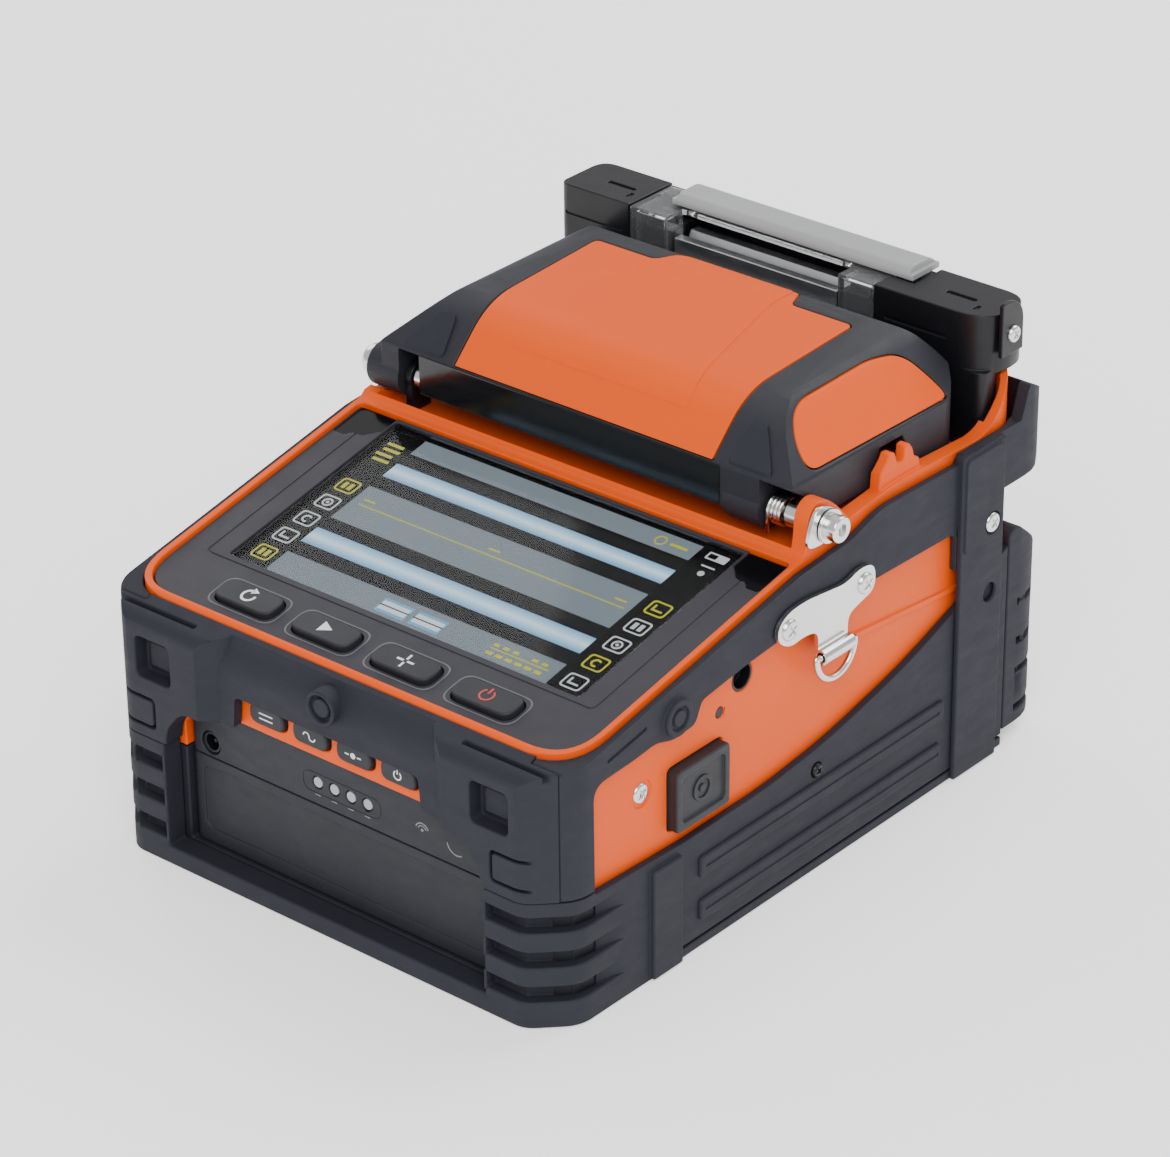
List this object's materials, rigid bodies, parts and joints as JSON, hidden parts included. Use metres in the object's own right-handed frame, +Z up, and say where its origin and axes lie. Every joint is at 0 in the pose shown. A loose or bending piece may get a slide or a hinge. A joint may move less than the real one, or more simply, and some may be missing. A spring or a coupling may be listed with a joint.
{
  "type": "fiber fusion splicer",
  "caption": "Portable fibre fusion splicer with sloping display panel, forward-opening wind cover, rear sleeve heater, drawer battery and rubber bumpers.",
  "frame": {"origin": "centre of the footprint on the surface it rests on", "axes": "+X to the operator's right, +Y away from the operator, +Z up"},
  "size_m": [0.1554, 0.1966, 0.1256],
  "materials": {
    "orange_plastic": "satin moulded orange plastic",
    "rubber": "charcoal bumper rubber with a fine matt grain",
    "dark_plastic": "black moulded plastic",
    "bezel_plastic": "dark grey satin panel",
    "key_rubber": "soft black key caps",
    "steel": "polished stainless steel",
    "aluminium": "machined aluminium",
    "screen_glass": "glossy black display window",
    "lcd": "display panel",
    "clear_plastic": "clear moulded polycarbonate",
    "cover_grey": "silver grey moulded plastic",
    "circuit_board": "green circuit board",
    "ceramic": "white ceramic",
    "brass": "brass electrode hardware",
    "cell_wrap": "blue heat-shrink wrap",
    "lamp": "translucent light guide"
  },
  "bodies": {
    "chassis": {"upper_case": "orange_plastic", "lower_case": "dark_plastic", "base_plate": "aluminium", "bumper_front": "rubber", "bumper_rail": "rubber", "bumper_lower": "rubber", "bumper_rear": "rubber", "panel_bezel": "bezel_plastic", "screen_glass": "screen_glass", "lcd_module": "lcd", "key_board": "circuit_board", "main_board": "circuit_board", "splice_base": "aluminium", "electrode_front": "brass", "electrode_rear": "brass", "microscope_front": "dark_plastic", "microscope_rear": "dark_plastic", "heater_body": "dark_plastic", "heater_trough": "aluminium", "heater_clamp_left": "dark_plastic", "heater_clamp_right": "dark_plastic", "heater_bracket": "steel", "v_groove_right": "ceramic", "strap_bracket_right": "steel", "hinge_plate_right": "steel", "hinge_screw_right": "steel", "hinge_pin_right": "steel", "v_groove_left": "ceramic", "strap_bracket_left": "steel", "hinge_plate_left": "dark_plastic", "hinge_screw_left": "steel", "hinge_pin_left": "steel", "hinge_spring": "steel"},
    "wind_cover": {"lid_frame": "dark_plastic", "lid_top_panel": "orange_plastic", "lid_insert_right": "orange_plastic", "lid_insert_left": "orange_plastic", "fibre_clamp": "dark_plastic"},
    "battery": {"battery_shell_upper": "dark_plastic", "battery_shell_lower": "dark_plastic", "battery_cells": "cell_wrap", "charge_lights": "lamp", "dc_jack": "dark_plastic"},
    "heater_lid": {"heater_cover": "clear_plastic", "heater_cover_bar": "cover_grey"},
    "key_reset": {"key_reset": "key_rubber"},
    "key_start": {"key_start": "key_rubber"},
    "key_axis": {"key_axis": "key_rubber"},
    "key_power": {"key_power": "key_rubber"},
    "meter_unit_key": {"meter_unit_key": "key_rubber"},
    "meter_wave_key": {"meter_wave_key": "key_rubber"},
    "fault_light_key": {"fault_light_key": "key_rubber"},
    "meter_power_key": {"meter_power_key": "key_rubber"},
    "push_button_right": {"push_button_right": "key_rubber"},
    "push_button_left": {"push_button_left": "key_rubber"},
    "d_ring_right": {"d_ring_right": "steel"},
    "d_ring_left": {"d_ring_left": "steel"},
    "drive_sledge_right": {"drive_sledge_right": "aluminium"},
    "drive_sledge_left": {"drive_sledge_left": "aluminium"}
  },
  "joints": [
    {"name": "wind_cover_hinge", "type": "hinge", "parent": "chassis", "child": "wind_cover", "pos_m": [0, 0.00475, 0.094], "axis": [1, 0, 0], "range_deg": [0, 85]},
    {"name": "battery_slide", "type": "slide", "parent": "chassis", "child": "battery", "axis": [0, -1, 0], "range_m": [0, 0.125]},
    {"name": "heater_cover_hinge", "type": "hinge", "parent": "chassis", "child": "heater_lid", "pos_m": [0, 0.09235, 0.121], "axis": [-1, 0, 0], "range_deg": [0, 90]},
    {"name": "push_button_right_press", "type": "slide", "parent": "chassis", "child": "push_button_right", "axis": [-1, 0, 0], "range_m": [0, 0.003]},
    {"name": "push_button_left_press", "type": "slide", "parent": "chassis", "child": "push_button_left", "axis": [1, 0, 0], "range_m": [0, 0.003]},
    {"name": "key_reset_press", "type": "slide", "parent": "chassis", "child": "key_reset", "axis": [0, 0.1961, -0.9806], "range_m": [0, 0.001]},
    {"name": "key_start_press", "type": "slide", "parent": "chassis", "child": "key_start", "axis": [0, 0.1961, -0.9806], "range_m": [0, 0.001]},
    {"name": "key_axis_press", "type": "slide", "parent": "chassis", "child": "key_axis", "axis": [0, 0.1961, -0.9806], "range_m": [0, 0.001]},
    {"name": "key_power_press", "type": "slide", "parent": "chassis", "child": "key_power", "axis": [0, 0.1961, -0.9806], "range_m": [0, 0.001]},
    {"name": "meter_unit_key_press", "type": "slide", "parent": "chassis", "child": "meter_unit_key", "axis": [0, 1, 0], "range_m": [0, 0.0008]},
    {"name": "meter_wave_key_press", "type": "slide", "parent": "chassis", "child": "meter_wave_key", "axis": [0, 1, 0], "range_m": [0, 0.0008]},
    {"name": "fault_light_key_press", "type": "slide", "parent": "chassis", "child": "fault_light_key", "axis": [0, 1, 0], "range_m": [0, 0.0008]},
    {"name": "meter_power_key_press", "type": "slide", "parent": "chassis", "child": "meter_power_key", "axis": [0, 1, 0], "range_m": [0, 0.0008]},
    {"name": "d_ring_right_swing", "type": "hinge", "parent": "chassis", "child": "d_ring_right", "pos_m": [0.0758, 0.00445, 0.0615], "axis": [0, -1, 0], "range_deg": [0, 110]},
    {"name": "d_ring_left_swing", "type": "hinge", "parent": "chassis", "child": "d_ring_left", "pos_m": [-0.0758, 0.00445, 0.0615], "axis": [0, 1, 0], "range_deg": [0, 110]},
    {"name": "drive_sledge_right_feed", "type": "slide", "parent": "chassis", "child": "drive_sledge_right", "axis": [-1, 0, 0], "range_m": [-0.001, 0.003]},
    {"name": "drive_sledge_left_feed", "type": "slide", "parent": "chassis", "child": "drive_sledge_left", "axis": [1, 0, 0], "range_m": [-0.001, 0.003]}
  ]
}
